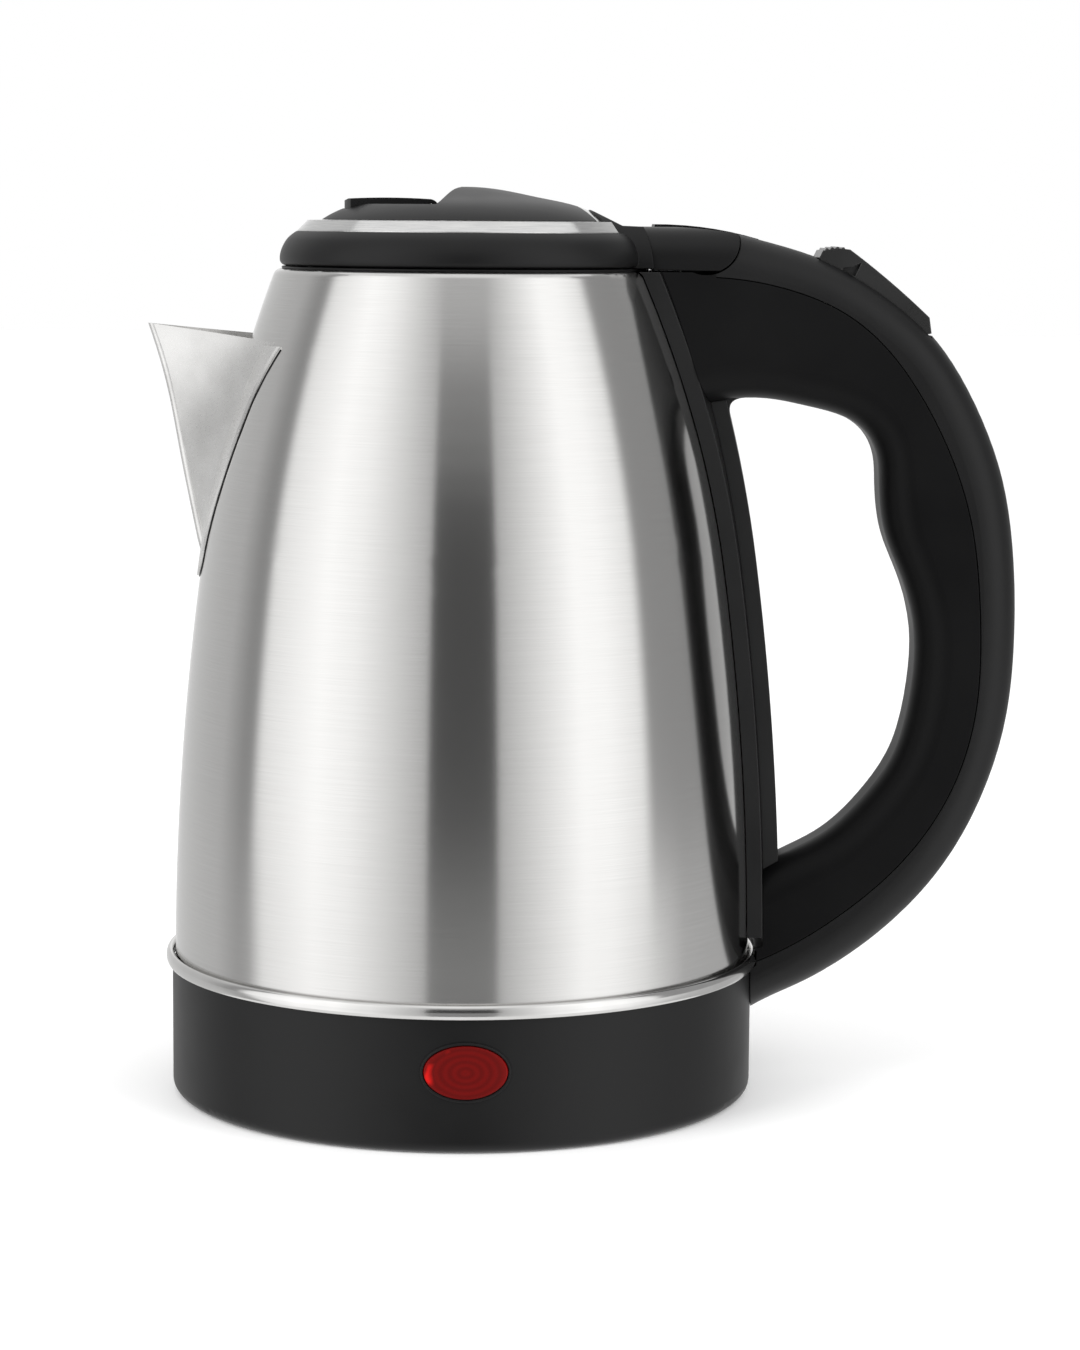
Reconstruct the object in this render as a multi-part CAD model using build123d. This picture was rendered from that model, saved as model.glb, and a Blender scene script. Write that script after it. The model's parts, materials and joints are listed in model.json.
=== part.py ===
from build123d import *
import os
from math import asin, cos, degrees, radians, sin, sqrt

# Cordless electric kettle, millimetres. +Z up, origin on the body's axis in the plane it rests on.
# The spout points to -X, the handle to +X, and the indicator lens faces -Y.

# ---- Driving dimensions ----
# Bottom housing
HOUSING_R = 75.0
HOUSING_H = 33.2
HOUSING_WALL = 2.2
HOUSING_EDGE_R = 3.0
REST_R = 62.0            # inner radius of the rim the kettle rests on
COVER_R = 61.7           # removable bottom cover
COVER_Z = 0.8
COVER_T = 2.2
LEDGE_R = 54.0           # ledge inside the housing that the cover screws to
SCREW_PCR = 57.8         # radius of the bottom screw circle
SCREW_COUNT = 3
SCREW_R = 1.45
SCREW_HEAD_R = 2.7

# Steel body wall: two tangent arcs and a shoulder, turned about Z
STEEL_T = 0.8
WALL_R = 74.3            # largest radius, at WALL_Z
WALL_Z = 30.0
LOWER_ARC = 790.0
UPPER_ARC = 338.0
KNEE_Z = 137.0           # the arcs meet here
SHOULDER_R = 2.2
BODY_TOP = 211.2
MOUTH_R = 44.2           # hole in the steel top
FOOT_RING_R = 76.6       # rolled rim round the foot of the wall

# Mouth collar and lid
COLLAR_R = 44.0
COLLAR_BORE = 42.2
LID_Z = 212.0
LID_R = 47.1
TRIM_OUT = (42.8, 220.6)
TRIM_TOP = (40.0, 223.4)
CAP_R = 36.3
DOME_TOP = 232.0
PLUG_R = 40.0
HINGE_X = 60.2
HINGE_Z = 219.2
HINGE_R = 1.5            # hinge pin
YOKE_R = 8.4             # rear of the yoke, about the hinge pin
YOKE_HW = 17.5           # half width of the yoke
TONGUE_HW = 7.0          # half width of the fixed tongue between the yoke's cheeks
FIT = 0.05               # radial clearance of a running fit
GAP = 0.4                # clearance between moving covers

# Lift tab in the lid
TAB_HW = 10.5
TAB_FRONT_R = 30.7       # its front edge follows this circle
TAB_PIN = (-9.0, 226.7)
TAB_PIN_R = 1.0
TAB_SHELF_Z = 227.5      # the cap is level here, round the tab
TAB_LIFT = 20.0          # degrees
LATCH_TRAVEL = 2.0
LATCH_Z = 205.0
LATCH_T = 2.0
LATCH_TIP = -41.0
CAM_PIN = (-11.0, -12.0)  # the tab's cam pin, from the tab's pivot
CAM_PIN_R = 1.1

# Handle
WALL = 2.6               # thickness of the handle mouldings
SEAM = 0.3               # width of the groove where the two handle halves meet
SEAM_DEPTH = 0.8
SEAM_FIT = 0.08          # gap between the halves behind the groove
YOKE_GAP_Z = 211.1       # top of what lies under the yoke
SPINE_1 = 4.0            # the inner spine stands this far off the wall
SPINE_2 = 8.0            # and its cover this far
ROCKER_HW = 8.5
ROCKER_PIN = (104.0, 204.0)
ROCKER_PIN_R = 1.2
ROCKER_SLOPE = 31.7      # slope of the handle's top there, degrees

# Indicator lens, an ellipse in the housing's side
LENS_X = 1.0
LENS_Z = 20.4
LENS_A = 10.35
LENS_B = 6.75
LENS_LIP = 1.6           # rim behind the housing wall that holds it

# Spout: each station is height, keel x, half width of the channel where it meets the wall
SPOUT = [
    (136.5, -66.4, 2.0),
    (140.5, -67.9, 6.2),
    (147.0, -69.3, 10.3),
    (158.0, -71.5, 15.2),
    (170.0, -73.7, 19.6),
    (182.0, -76.1, 23.4),
    (192.0, -78.9, 27.0),
    (200.0, -81.6, 30.2),
]
SPOUT_TIP = (-80.2, 197.1)      # ends of its sloping top edge
SPOUT_ROOT = (-44.0, 192.9)
FLANGE = [                      # half outline of its flange on the wall, seen along X
    (0, 132.8), (9.0, 135.2), (13.0, 144.0), (18.2, 156.0), (22.8, 169.0), (26.0, 180.3), (30.5, 192.4),
]
HOLE_ROWS = [(150, 2), (157, 3), (164, 4), (171, 5), (178, 6), (185, 6)]    # height, holes in the row
HOLE_R = 1.6
HOLE_PITCH = 5.6

# Lid details
NECK_LINE = [(44.5, 222.3), (46.2, 217.5), (46.9, 211.5)]     # where the lid ring meets the yoke
LID_SIDE = [(LID_R, 213.7), (46.9, 215.3), (46.2, 217.1), (45.1, 218.8), (44.0, 219.8), TRIM_OUT]
LID_SCREW_R = 1.3
BOSS_PCR = 33.4
BOSS_COUNT = 4
YOKE_UNDER_Z = 211.5
TONGUE_R = 13.0          # front of the tongue, about the hinge pin
HINGE_PIN_HL = 13.3      # half length of the hinge pin
PLUG_Z = 203.0
PLUG_FLOOR = 1.6

# Handle: stations from the body round to the foot, each outer point, inner point, half width
STATIONS = [
    ((44.0, 222.4), (44.0, 177.0), 20.0),
    ((57.0, 222.3), (57.0, 177.5), 18.5),
    ((68.5, 220.6), (68.5, 179.3), 17.3),
    ((79.0, 218.0), (77.5, 179.2), 16.2),
    ((92.0, 213.7), (86.5, 177.5), 15.3),
    ((106.0, 205.8), (96.0, 174.9), 14.7),
    ((118.0, 196.0), (102.3, 170.5), 14.2),
    ((127.0, 183.6), (105.2, 164.4), 14.0),
    ((134.2, 168.6), (105.8, 157.0), 14.0),
    ((138.7, 153.2), (107.4, 145.3), 14.0),
    ((140.9, 136.0), (112.2, 133.0), 14.0),
    ((141.4, 120.0), (115.5, 119.6), 14.0),
    ((140.6, 104.0), (115.1, 105.5), 14.0),
    ((137.0, 86.0), (111.6, 89.8), 13.8),
    ((129.3, 67.2), (104.8, 78.4), 13.5),
    ((118.4, 51.3), (97.2, 70.2), 13.0),
    ((104.0, 37.8), (89.5, 64.8), 12.6),
    ((88.5, 27.9), (80.0, 60.0), 12.3),
    ((74.0, 20.6), (69.0, 55.0), 12.0),
]
PARTING = [
    (62.6, 210.0), (71.2, 209.2), (82.7, 206.6), (95.6, 201.1), (106.0, 192.7), (113.9, 182.6),
    (120.5, 171.1), (125.9, 158.3), (129.3, 145.5), (131.2, 129.9), (131.8, 117.0), (131.1, 101.3),
    (127.5, 85.6),
    (121.3, 72.4), (108.6, 56.5), (95.8, 45.9), (85.4, 39.2), (76.0, 34.6),
]
CORNER_R = 9.0
HAND_CENTRE = (90.0, 120.0)     # middle of the finger gap
SPINE_OUTLINE = [               # half outlines of the two layers of the spine, seen along X
    (12.6, 41.0), (12.2, 54.0), (11.2, 72.0), (11.4, 105.0), (12.8, 145.0), (17.3, 180.0), (20.3, 211.1),
]
SPINE_COVER_OUTLINE = [(7.0, 52.0), (7.5, 90.0), (8.2, 130.0), (9.4, 186.0)]
BRACKET_T = 1.5
UPPER_BRACKET = [(14.5, 186.0), (14.6, 192.0), (14.5, 196.0)]
LOWER_BRACKET = [(6.0, 46.0), (6.2, 52.0), (6.0, 58.0)]
HANDLE_SCREW_R = 1.6
HANDLE_SCREW_L = 7.2
UPPER_SCREWS = [(62.4, -9.0, 191.0), (62.4, 9.0, 191.0)]      # undersides of the screw heads
LOWER_SCREWS = [(81.4, 0, 52.0)]
ROCKER_PIN_HL = 10.4
ROCKER_NOTCH = [(95.2, 212.3), (97.6, 212.6), (100.0, 213.7), (98.4, 210.2), (95.2, 211.0)]
ROCKER_NOTCH_DEPTH = 2.0
ROCKER_RIDGES = [(-17.6, 4.25), (-16.6, 5.15), (-15.5, 6.0), (-14.2, 6.65)]      # along the slope, up from it
ROCKER_RIDGE_R = 0.4
PLUNGER_ALONG = -9.0     # the switch's plunger, along the slope from the rocker's pin
PLUNGER_R = 1.5
STEAM_Z = 198.0          # steam tube from the body into the handle
STEAM_R = 4.0
WIRE_R = 1.1
WIRE_Z = 28.0            # where the wires enter the foot
WIRE_ROUTE = [
    (99, 181), (112, 171), (118, 158), (121, 141), (124, 126), (124, 110), (119, 92), (109, 73), (97, 56),
    (87, 43), (82.5, 34), (77.5, WIRE_Z), (66, WIRE_Z), (52, 24),
]

# Boiler floor, element and control
FLOOR_Z = 40.5
ELEMENT_R = 45.0
ELEMENT_TUBE = 3.2
ELEMENT_GAP = 28.0       # half angle of the gap between the element's ends
PLATE_Z = 37.5           # underside of the heat plate
CONTROL_R = 21.0
CONTROL_SCREW_R = 1.2
CONTROL_PCR = 26.0
CONTROL_SCREWS = [(CONTROL_PCR * cos(radians(a)), CONTROL_PCR * sin(radians(a))) for a in (60, 180, 300)]
SOCKET_R = 17.6
SOCKET_LENGTH = 3.6
CONTACT_Z = 7.2
CONTACT_RINGS = [(10.4, 11.2), (4.0, 4.8)]
EARTH_R = 1.8


# ---- Small helpers: outlines in the XZ plane ----
def at(point, y=0.0):
    return Vector(point[0], y, point[1])


def line(a, b):
    return Edge.make_line(at(a), at(b))


def arc(a, mid, b):
    return Edge.make_three_point_arc(at(a), at(mid), at(b))


def curve(points):
    return Edge.make_spline([at(p) for p in points])


def chain(points):
    return [line(a, b) for a, b in zip(points, points[1:])]


def loop(edges):
    return Face(Wire(edges))


def polygon(points):
    return loop(chain(points + [points[0]]))


def turned(face):
    return revolve(face, Axis.Z)


def ring(r_in, r_out, z_low, z_high):
    return turned(polygon([(r_in, z_low), (r_out, z_low), (r_out, z_high), (r_in, z_high)]))


def plate(face, y_low, y_high):
    return extrude(Pos(0, y_low, 0) * face, amount=y_high - y_low, dir=(0, 1, 0))


def prism(face, half_width):
    return plate(face, -half_width, half_width)


def post(x, y, r, z_low, z_high):
    return Pos(x, y, (z_low + z_high) / 2) * Cylinder(r, z_high - z_low)


def bar_y(x, z, r, y_low, y_high):
    return Pos(x, (y_low + y_high) / 2, z) * Rot(90, 0, 0) * Cylinder(r, y_high - y_low)


def block(low, high):
    size = [b - a for a, b in zip(low, high)]
    middle = [(a + b) / 2 for a, b in zip(low, high)]
    return Pos(*middle) * Box(*size)


def largest(shape):
    """The biggest solid of a shape, without any shaving that a cut has left."""
    return max(shape.solids(), key=lambda solid: solid.volume)


def around(shape, count, start=0.0):
    return [Rot(0, 0, start + 360 * i / count) * shape for i in range(count)]


# ---- Body wall ----
LOWER_C = (WALL_R - LOWER_ARC, WALL_Z)
KNEE_ANGLE = degrees(asin((KNEE_Z - WALL_Z) / LOWER_ARC))
UPPER_C = (
    LOWER_C[0] + (LOWER_ARC - UPPER_ARC) * cos(radians(KNEE_ANGLE)),
    LOWER_C[1] + (LOWER_ARC - UPPER_ARC) * sin(radians(KNEE_ANGLE)),
)
SHOULDER_ANGLE = degrees(asin((BODY_TOP - SHOULDER_R - UPPER_C[1]) / (UPPER_ARC - SHOULDER_R)))
SHOULDER_C = (
    UPPER_C[0] + (UPPER_ARC - SHOULDER_R) * cos(radians(SHOULDER_ANGLE)),
    BODY_TOP - SHOULDER_R,
)


def on_circle(centre, radius, angle):
    return (centre[0] + radius * cos(radians(angle)), centre[1] + radius * sin(radians(angle)))


def circle_arc(centre, radius, a, b):
    return arc(*[on_circle(centre, radius, t) for t in (a, (a + b) / 2, b)])


def wall_radius(z, offset=0.0):
    """Radius of the wall's outer face at height z."""
    if z <= KNEE_Z:
        centre, radius = LOWER_C, LOWER_ARC
    else:
        centre, radius = UPPER_C, UPPER_ARC
    return centre[0] + sqrt((radius + offset) ** 2 - (z - centre[1]) ** 2)


def body_solid(offset, z_low):
    """The whole body as a solid, its outer face moved out by offset."""
    low = degrees(asin((z_low - WALL_Z) / (LOWER_ARC + offset)))
    top = BODY_TOP + offset
    start = on_circle(LOWER_C, LOWER_ARC + offset, low)
    end = (SHOULDER_C[0], top)
    edges = [
        circle_arc(LOWER_C, LOWER_ARC + offset, low, KNEE_ANGLE),
        circle_arc(UPPER_C, UPPER_ARC + offset, KNEE_ANGLE, SHOULDER_ANGLE),
        circle_arc(SHOULDER_C, SHOULDER_R + offset, SHOULDER_ANGLE, 90),
    ]
    return turned(loop(edges + chain([end, (0, top), (0, z_low), start])))


def strainer_holes():
    """Rows of round holes through the wall behind the spout."""
    holes = []
    for z, count in HOLE_ROWS:
        step = degrees(HOLE_PITCH / wall_radius(z))
        for i in range(count):
            turn = 180 + (i - (count - 1) / 2) * step
            drill = Pos(wall_radius(z), 0, z) * Rot(0, 90, 0) * Cylinder(HOLE_R, 8)
            holes.append(Rot(0, 0, turn) * drill)
    return holes


def body_shell():
    shell = body_solid(0, HOUSING_H) - body_solid(-STEEL_T, HOUSING_H - 1)
    shell -= post(0, 0, MOUTH_R, BODY_TOP - 5, BODY_TOP + 5)
    shell -= strainer_holes()
    shell -= Pos(50, 0, STEAM_Z) * Rot(0, 90, 0) * Cylinder(STEAM_R + 0.2, 20)
    return shell


# ---- Spout ----
def spout_section(z, keel_x, half_width, inset):
    """A V in plan, its sides a little hollow, its keel rounded, open towards the body."""
    root_x = -sqrt(wall_radius(z) ** 2 - half_width**2)
    w = half_width - inset
    k = keel_x + 1.5 * inset
    run = root_x - k
    nose = min(1.6, 0.3 * w)
    hollow = 0.035 * run
    mid = ((root_x + k + nose) / 2 + hollow, (w + nose) / 2 - hollow)
    half = [(root_x + 9, w), (root_x, w), (k + nose, nose)]
    pts = half + [(k, 0)] + [(x, -y) for x, y in reversed(half)]

    def up(p):
        return Vector(p[0], p[1], z)

    edges = [
        Edge.make_line(up(pts[0]), up(pts[1])),
        Edge.make_three_point_arc(up(pts[1]), up(mid), up(pts[2])),
        Edge.make_three_point_arc(up(pts[2]), up(pts[3]), up(pts[4])),
        Edge.make_three_point_arc(up(pts[4]), up((mid[0], -mid[1])), up(pts[5])),
        Edge.make_line(up(pts[5]), up(pts[6])),
        Edge.make_line(up(pts[6]), up(pts[0])),
    ]
    return loop(edges)


def mirrored_outline(points):
    """Closed outline in the YZ plane from its right half, swept along X over the spout side."""
    right = [Vector(-100, y, z) for y, z in points]
    left = [Vector(-100, -y, z) for y, z in reversed(points)]
    top = Edge.make_line(right[-1], left[0])
    return Face(Wire([Edge.make_spline(left[:-1] + right), top]))


def spout():
    body = body_solid(0, 99)
    inner = loft([spout_section(*s, STEEL_T) for s in SPOUT])
    channel = loft([spout_section(*s, 0.0) for s in SPOUT]) - body - inner
    sheet = body_solid(STEEL_T, 100) - body
    flange = sheet & extrude(mirrored_outline(FLANGE), amount=80, dir=(1, 0, 0))
    shell = channel + (flange - inner)
    slope = (SPOUT_TIP[1] - SPOUT_ROOT[1]) / (SPOUT_TIP[0] - SPOUT_ROOT[0])
    left = (-95, SPOUT_TIP[1] + slope * (-95 - SPOUT_TIP[0]))
    right = (-30, SPOUT_ROOT[1] + slope * (-30 - SPOUT_ROOT[0]))
    above = polygon([left, right, (-30, 215), (-95, 215)])
    return shell - prism(above, 50)


# ---- Foot of the body ----
def foot_ring():
    r = FOOT_RING_R - 1.05
    z = HOUSING_H + 1.9
    bead = Pos(r, 0, z) * Rot(90, 0, 0) * Ellipse(1.05, 1.85)
    return revolve(bead.face(), Axis.Z)


def bottom_housing():
    inner = HOUSING_R - HOUSING_WALL
    ledge_z = COVER_Z + COVER_T
    bend = HOUSING_EDGE_R * (1 - cos(radians(45)))
    edges = chain([(REST_R, 0), (HOUSING_R - HOUSING_EDGE_R, 0)])
    edges.append(arc((HOUSING_R - HOUSING_EDGE_R, 0), (HOUSING_R - bend, bend), (HOUSING_R, HOUSING_EDGE_R)))
    edges += chain([
        (HOUSING_R, HOUSING_EDGE_R), (HOUSING_R, HOUSING_H), (inner - 2.2, HOUSING_H), (inner - 2.2, 30.8),
        (inner, 30.8), (inner, ledge_z + COVER_T), (LEDGE_R, ledge_z + COVER_T), (LEDGE_R, ledge_z),
        (REST_R, ledge_z), (REST_R, 0),
    ])
    housing = turned(loop(edges))
    housing += around(post(SCREW_PCR, 0, 3.6, ledge_z + 1, 14), SCREW_COUNT, 30)
    housing -= around(post(SCREW_PCR, 0, SCREW_R, 0, 12), SCREW_COUNT, 30)
    housing -= wire_room()
    window = Pos(LENS_X, -HOUSING_R, LENS_Z) * Rot(90, 0, 0) * Ellipse(LENS_A, LENS_B)
    return housing - extrude(window.face(), amount=12, dir=(0, 1, 0), both=True)


def indicator_lens():
    front = Pos(LENS_X, -HOUSING_R - 5, LENS_Z) * Rot(90, 0, 0)
    outline = front * Ellipse(LENS_A - 0.25, LENS_B - 0.25)
    flange = front * Ellipse(LENS_A + LENS_LIP, LENS_B + LENS_LIP)
    inner = HOUSING_R - HOUSING_WALL
    face = ring(inner - LENS_LIP, HOUSING_R + 0.5, 5, 31)
    rim = ring(inner - LENS_LIP, inner - 0.1, 5, 31)
    stem = extrude(outline.face(), amount=20, dir=(0, 1, 0)) & face
    return stem + (extrude(flange.face(), amount=20, dir=(0, 1, 0)) & rim)


# ---- Handle ----
def handle_section(outer, inner, half_width, inset):
    """A rounded rectangle standing across the handle."""
    across = Vector(outer[0] - inner[0], 0, outer[1] - inner[1])
    middle = Vector((outer[0] + inner[0]) / 2, 0, (outer[1] + inner[1]) / 2)
    side = across.normalized()
    plane = Plane(origin=middle, x_dir=side, z_dir=Vector(side.Z, 0, -side.X))
    shape = RectangleRounded(across.length - 2 * inset, 2 * (half_width - inset), CORNER_R - inset)
    return (plane * shape).face()


def handle_blank(inset):
    return loft([handle_section(*s, inset) for s in STATIONS])


def keep_out(gap, off_wall):
    """What the handle keeps clear of: housing and foot ring by gap, the steel wall by off_wall."""
    foot = polygon([
        (0, -5), (HOUSING_R + gap, -5), (HOUSING_R + gap, HOUSING_H - 0.8),
        (FOOT_RING_R + gap, HOUSING_H + 0.5), (FOOT_RING_R + gap, HOUSING_H + 4.2),
        (wall_radius(39) + gap, HOUSING_H + 6), (0, HOUSING_H + 6),
    ])
    return turned(foot) + body_solid(off_wall, HOUSING_H + 5)


def parting_line(shrink):
    """The line where the handle's halves meet, drawn in towards the fingers by shrink."""
    points = []
    for x, z in PARTING:
        across = Vector(HAND_CENTRE[0] - x, 0, HAND_CENTRE[1] - z).normalized() * shrink
        points.append((x + across.X, z + across.Z))
    return points


def inner_side(shrink):
    """Region on the finger side of the parting line."""
    points = parting_line(shrink)
    first = points[0]
    last = points[-1]
    front = [(20, last[1]), (20, YOKE_GAP_Z + 0.2), (PARTING[0][0] - shrink, YOKE_GAP_Z + 0.2)]
    return prism(loop([curve(points)] + chain([last] + front + [first])), 60)


def seam_grooves():
    """Two thin strips along the parting line, one in each side of the handle."""
    outer_line = parting_line(0)
    inner_line = parting_line(SEAM)
    edges = [curve(outer_line), curve(inner_line)]
    edges += [line(outer_line[0], inner_line[0]), line(outer_line[-1], inner_line[-1])]
    band = prism(loop(edges), 60)
    return ((band & handle_blank(0)) - handle_blank(SEAM_DEPTH)).solids()


def yoke_room():
    """Space kept free for the lid's yoke, in front of and above the handle's front face."""
    above = block((20, -60, YOKE_GAP_Z), (HINGE_X, 60, 240))
    return above + bar_y(HINGE_X, HINGE_Z, YOKE_R + GAP, -60, 60)


def spine_strip(low, high, outline):
    """A strip hugging the back wall between two offsets, cut to an outline seen from behind."""
    sheet = body_solid(high, HOUSING_H + 5) - body_solid(low, HOUSING_H + 4)
    right = [Vector(30, y, z) for y, z in outline]
    left = [Vector(30, -y, z) for y, z in reversed(outline)]
    edges = [Edge.make_spline(right), Edge.make_line(right[-1], left[0])]
    edges += [Edge.make_spline(left), Edge.make_line(left[-1], right[0])]
    return sheet & extrude(Face(Wire(edges)), amount=60, dir=(1, 0, 0))


# ---- Lid ----
def lid_surface(z_low):
    """Solid under the lid's top: a cone at the trim, a flat step, then the dome."""
    step = (CAP_R + 0.2, 223.5)
    edges = chain([(0, z_low), (TRIM_OUT[0], z_low), TRIM_OUT, TRIM_TOP, step])
    edges.append(curve([step, (33.0, 225.5), (27.7, 227.5), (18.8, 229.4), (9.0, 231.3), (0, DOME_TOP)]))
    edges.append(line((0, DOME_TOP), (0, z_low)))
    return turned(loop(edges))


def d_shape(r, notch_x, notch_r):
    """Round in front, hollowed at the back by a circle whose nearest point is at notch_x."""
    return post(0, 0, r, 200, 240) - post(notch_x + notch_r, 0, notch_r, 199, 241)


def loaf(half_width, shoulder_z, crown_z, crown_hw):
    """Cross-section of the neck in the YZ plane, run along X."""
    y = half_width
    bend_y = crown_hw + (y - crown_hw) * 0.707
    bend_z = shoulder_z + (crown_z - shoulder_z) * 0.707
    pts = [Vector(25, *p) for p in [(-y, 208), (-y, shoulder_z), (-bend_y, bend_z), (-crown_hw, crown_z)]]
    far = [Vector(25, -p.Y, p.Z) for p in pts]
    edges = [
        Edge.make_line(pts[0], pts[1]), Edge.make_three_point_arc(pts[1], pts[2], pts[3]),
        Edge.make_line(pts[3], far[3]), Edge.make_three_point_arc(far[3], far[2], far[1]),
        Edge.make_line(far[1], far[0]), Edge.make_line(far[0], pts[0]),
    ]
    return extrude(Face(Wire(edges)), amount=50, dir=(1, 0, 0))


def lid_side():
    """The lid ring's outer side, from its underside up to the trim."""
    return [arc((45.7, LID_Z), (46.7, 212.5), LID_SIDE[0]), curve(LID_SIDE)]


def lid_round():
    edges = chain([(0, LID_Z), (45.7, LID_Z)]) + lid_side()
    return turned(loop(edges + chain([TRIM_OUT, (0, TRIM_OUT[1]), (0, LID_Z)])))


def lid_ring():
    edges = chain([(30, LID_Z), (45.7, LID_Z)]) + lid_side()
    edges += chain([
        TRIM_OUT, (37.5, 220.6), (37.5, 219.0), (33.5, 219.0), (33.5, 217.2), (40.6, 217.2), (43.6, 214.2),
        (30, 214.2), (30, LID_Z),
    ])
    body = turned(loop(edges))
    slope = [(30.0, 211.5), (30.0, 227.2), (39.3, 222.5), NECK_LINE[0]]
    neck = prism(loop(chain(slope) + [arc(*NECK_LINE), line(NECK_LINE[2], slope[0])]), 30)
    neck &= loaf(19.0, 213.5, 226.4, 3.0)
    under_trim = d_shape(TRIM_OUT[0] + 0.05, 31.2, 29.3) & block((-50, -50, 220.6), (50, 50, 240))
    body += neck - post(0, 0, 40, 200, 240) & block((0, -30, LID_Z), (60, 30, 230))
    under_cap = d_shape(CAP_R + 0.1, 28.2, 29.2) & block((-50, -50, 218.95), (50, 50, 240))
    body += (neck & block((31, -19, 217.2), (60, 19, 230))) - under_trim - under_cap
    body += [post(*boss_at(i), 3.0, 214.0, 217.3) for i in range(BOSS_COUNT)]
    body -= [post(*boss_at(i), LID_SCREW_R, LID_Z - 1, 217.0) for i in range(BOSS_COUNT)]
    return body


def boss_at(i):
    turn = radians(45 + 360 * i / BOSS_COUNT)
    return (BOSS_PCR * cos(turn), BOSS_PCR * sin(turn))


def lid_trim():
    band = lid_surface(215) & block((-50, -50, TRIM_OUT[1]), (50, 50, 240))
    return (band & d_shape(TRIM_OUT[0], 31.2, 29.3)) - d_shape(CAP_R + 0.15, 28.2, 29.2)


def tab_profile(grow):
    """Side view of the lift tab: a thin lip in front, a flat top, and a round heel at its pin."""
    x, z = TAB_PIN
    heel = 2.1 + grow
    top = [(-31.5, 227.3), (-30.9, 228.2), (-29.5, 228.8)]
    edges = chain([(-31.5, 226.0 - grow)] + top)
    edges += [arc(top[-1], (-19.0, 229.1), (x, z + heel)), arc((x, z + heel), (x + heel, z), (x, z - heel))]
    edges += chain([(x, z - heel), (-13.0, 226.0 - grow), (-31.5, 226.0 - grow)])
    return loop(edges)


def lid_cap():
    shell = lid_surface(219.0) & d_shape(CAP_R, 28.2, 29.2)
    inside = polygon([(0, 210), (34.0, 210), (34.0, 222.8), (27.0, 225.4), (0, 225.8)])
    shell -= turned(inside) & d_shape(34.2, 26.0, 29.2)
    floor = block((-32.5, -13.0, 222.8), (-4.5, 13.0, 230)) & lid_surface(219.0) & post(0, 0, CAP_R, 200, 240)
    shell += floor
    pocket = block((-31.1, -TAB_HW - GAP, 224.2), (-6.0, TAB_HW + GAP, 235)) & post(0, 0, 31.1, 220, 240)
    shell -= pocket + thumb_hollow()
    shell -= bar_y(*TAB_PIN, TAB_PIN_R, -13, 13)
    return shell - block((-26, 1.0, 215), (-14, 4.4, 226))


def thumb_hollow():
    """The lowered front of the cap: level under the tab's lip, then an S up to the hump."""
    x, z = TAB_PIN
    rise = [(x + 1.6, TAB_SHELF_Z), (x + 3.6, 229.2), (-3.4, 231.0), (-1.2, 231.9)]
    edges = chain([(-1.2, 231.9), (-1.2, 240), (-45, 240), (-45, TAB_SHELF_Z), rise[0]]) + [curve(rise)]
    heel = bar_y(x, z, 2.5, -TAB_HW - GAP, TAB_HW + GAP)
    return prism(loop(edges), 45) + heel


def lid_tab():
    tab = prism(tab_profile(0), TAB_HW) & post(0, 0, TAB_FRONT_R, 200, 240)
    leg_x = TAB_PIN[0] + CAM_PIN[0]
    leg_z = TAB_PIN[1] + CAM_PIN[1]
    leg = plate(polygon([
        (leg_x - 2, leg_z - 2), (leg_x + 2, leg_z - 2), (leg_x + 4, 227), (leg_x - 2, 227),
    ]), 1.6, 3.6)
    pin = bar_y(leg_x, leg_z, CAM_PIN_R, -1.7, 1.8)
    return tab + leg + pin - bar_y(*TAB_PIN, TAB_PIN_R + FIT, -20, 20)


def tab_pin():
    return bar_y(*TAB_PIN, TAB_PIN_R, -12.6, 12.6)


def cam_slot():
    """The cam pin's path as the latch sees it, with clearance."""
    steps = 8
    slot = []
    for i in range(steps + 1):
        share = i / steps
        lift = radians(TAB_LIFT * share)
        x = CAM_PIN[0] * cos(lift) + CAM_PIN[1] * sin(lift) - LATCH_TRAVEL * share
        z = -CAM_PIN[0] * sin(lift) + CAM_PIN[1] * cos(lift)
        slot.append(bar_y(TAB_PIN[0] + x, TAB_PIN[1] + z, CAM_PIN_R + 0.35, -3, 3))
    return slot


def lid_latch():
    bar = block((-39.0, -5.0, LATCH_Z), (-12.0, 5.0, LATCH_Z + LATCH_T))
    top = LATCH_Z + LATCH_T
    nose = polygon([(-39.5, LATCH_Z), (LATCH_TIP, LATCH_Z + 0.8), (LATCH_TIP, top), (-39, top)])
    bar += prism(nose, 4.0)
    bar += block((-39.6, -4, LATCH_Z), (-38, 4, LATCH_Z + LATCH_T))
    riser = plate(polygon([
        (-29.0, LATCH_Z), (-14.0, LATCH_Z), (-14.0, 217), (-17.0, 222.2), (-29.0, 222.2),
    ]), -1.2, 1.2)
    stop = block((-13.4, -3, LATCH_Z), (-12.0, 3, LATCH_Z + 6))
    return bar + riser - cam_slot() + stop


def latch_spring():
    """Pushes the latch forward from a post on the plug's floor."""
    return coil(2.0, 0.3, 7.6, 6, Pos(-11.8, 0, LATCH_Z + 3.6) * Rot(0, 90, 0))


def coil(r, wire, length, turns, place):
    helix = Helix(pitch=(length - 2 * wire) / turns, height=length - 2 * wire, radius=r)
    start = helix @ 0
    profile = Plane(origin=start, z_dir=helix % 0) * Circle(wire)
    return place * Pos(0, 0, wire) * sweep(profile.face(), path=helix, is_frenet=True)


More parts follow.
